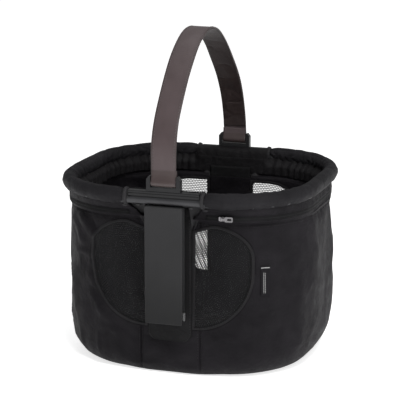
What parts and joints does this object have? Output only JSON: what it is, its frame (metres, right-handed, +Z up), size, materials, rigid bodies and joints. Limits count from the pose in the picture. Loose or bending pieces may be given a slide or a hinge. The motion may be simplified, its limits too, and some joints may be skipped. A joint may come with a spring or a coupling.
{
  "type": "handlebar basket",
  "caption": "Soft-sided bicycle basket with a padded rounded-rectangle tube rim, mesh windows, a hanging mounting plate at each end and an arched carrying strap.",
  "frame": {"origin": "centre of the basket's footprint, on the floor it stands on", "axes": "+Z up, +X to the basket's right along its long side, front (label and zip pull) towards -Y; the carrying strap swings about Y"},
  "size_m": [0.419, 0.391, 0.527],
  "materials": {
    "tube_metal": "satin dark grey anodised look",
    "spigot_metal": "mill",
    "fastener_steel": "satin",
    "frame_plastic": "fine matt dark grey",
    "tab_plastic": "semi gloss pale grey",
    "roll_fabric": "matt woven nylon",
    "foam": "closed-cell foam",
    "body_fabric": "woven nylon, slight sheen",
    "lining_fabric": "smooth lining",
    "board_plastic": "matt",
    "window_mesh": "open hexagonal mesh",
    "binding_tape": "ribbed tape",
    "zip_tape": "twill tape with coil teeth",
    "zip_metal": "polished",
    "label_fabric": "woven ribbon",
    "strap_leather": "fine-grained leather look",
    "strap_lining": "soft matt"
  },
  "bodies": {
    "frame": {"base_board": "board_plastic", "bottom_panel": "body_fabric", "bridge_screws": "fastener_steel", "centre_panel_front": "body_fabric", "centre_panel_rear": "body_fabric", "floor_pad": "lining_fabric", "front_bridge": "frame_plastic", "front_column": "body_fabric", "front_handle_loop": "frame_plastic", "front_hanger_back": "frame_plastic", "front_hanger_cover": "frame_plastic", "front_left_binding": "binding_tape", "front_left_mesh": "window_mesh", "front_right_binding": "binding_tape", "front_right_mesh": "window_mesh", "hanger_screws": "fastener_steel", "joiner_rivets": "fastener_steel", "liner_skirt": "lining_fabric", "loop_screws": "fastener_steel", "rear_bridge": "frame_plastic", "rear_column": "body_fabric", "rear_handle_loop": "frame_plastic", "rear_hanger_back": "frame_plastic", "rear_hanger_cover": "frame_plastic", "rear_left_binding": "binding_tape", "rear_left_mesh": "window_mesh", "rear_right_binding": "binding_tape", "rear_right_mesh": "window_mesh", "rim_foam_left": "foam", "rim_foam_right": "foam", "rim_sleeve_left": "roll_fabric", "rim_sleeve_right": "roll_fabric", "rim_tube_front": "tube_metal", "rim_tube_rear": "tube_metal", "side_label": "label_fabric", "side_panel_left": "body_fabric", "side_panel_right": "body_fabric", "sleeve_end_bindings": "roll_fabric", "strap_end_front": "strap_leather", "strap_end_rear": "strap_leather", "top_band": "body_fabric", "tube_joiners": "spigot_metal", "zip_tape_left": "zip_tape", "zip_tape_right": "zip_tape"},
    "strap": {"handle_strap": "strap_leather", "handle_lining": "strap_lining"},
    "slider": {"zip_slider": "zip_metal"},
    "pull": {"zip_pull": "zip_metal"},
    "front_tab": {"front_release_tab": "tab_plastic"},
    "rear_tab": {"rear_release_tab": "tab_plastic"}
  },
  "joints": [
    {"name": "handle_swing", "type": "hinge", "parent": "frame", "child": "strap", "pos_m": [0, 0, 0.3425], "axis": [0, 1, 0], "range_deg": [-85, 85], "stiffness_Nm_per_rad": 0.3},
    {"name": "zip_slide", "type": "hinge", "parent": "frame", "child": "slider", "pos_m": [0.077, -0.048, 0.2595], "axis": [0, 0, 1], "range_deg": [-4, 75]},
    {"name": "pull_flip", "type": "hinge", "parent": "slider", "child": "pull", "pos_m": [0.08729, -0.17589, 0.2595], "axis": [0, 0, -1], "range_deg": [0, 165]},
    {"name": "front_tab_press", "type": "slide", "parent": "frame", "child": "front_tab", "axis": [-1, 0, 0], "range_m": [0, 0.002], "stiffness_N_per_m": 800, "springref_m": -0.002},
    {"name": "rear_tab_press", "type": "slide", "parent": "frame", "child": "rear_tab", "axis": [1, 0, 0], "range_m": [0, 0.002], "stiffness_N_per_m": 800, "springref_m": -0.002}
  ]
}
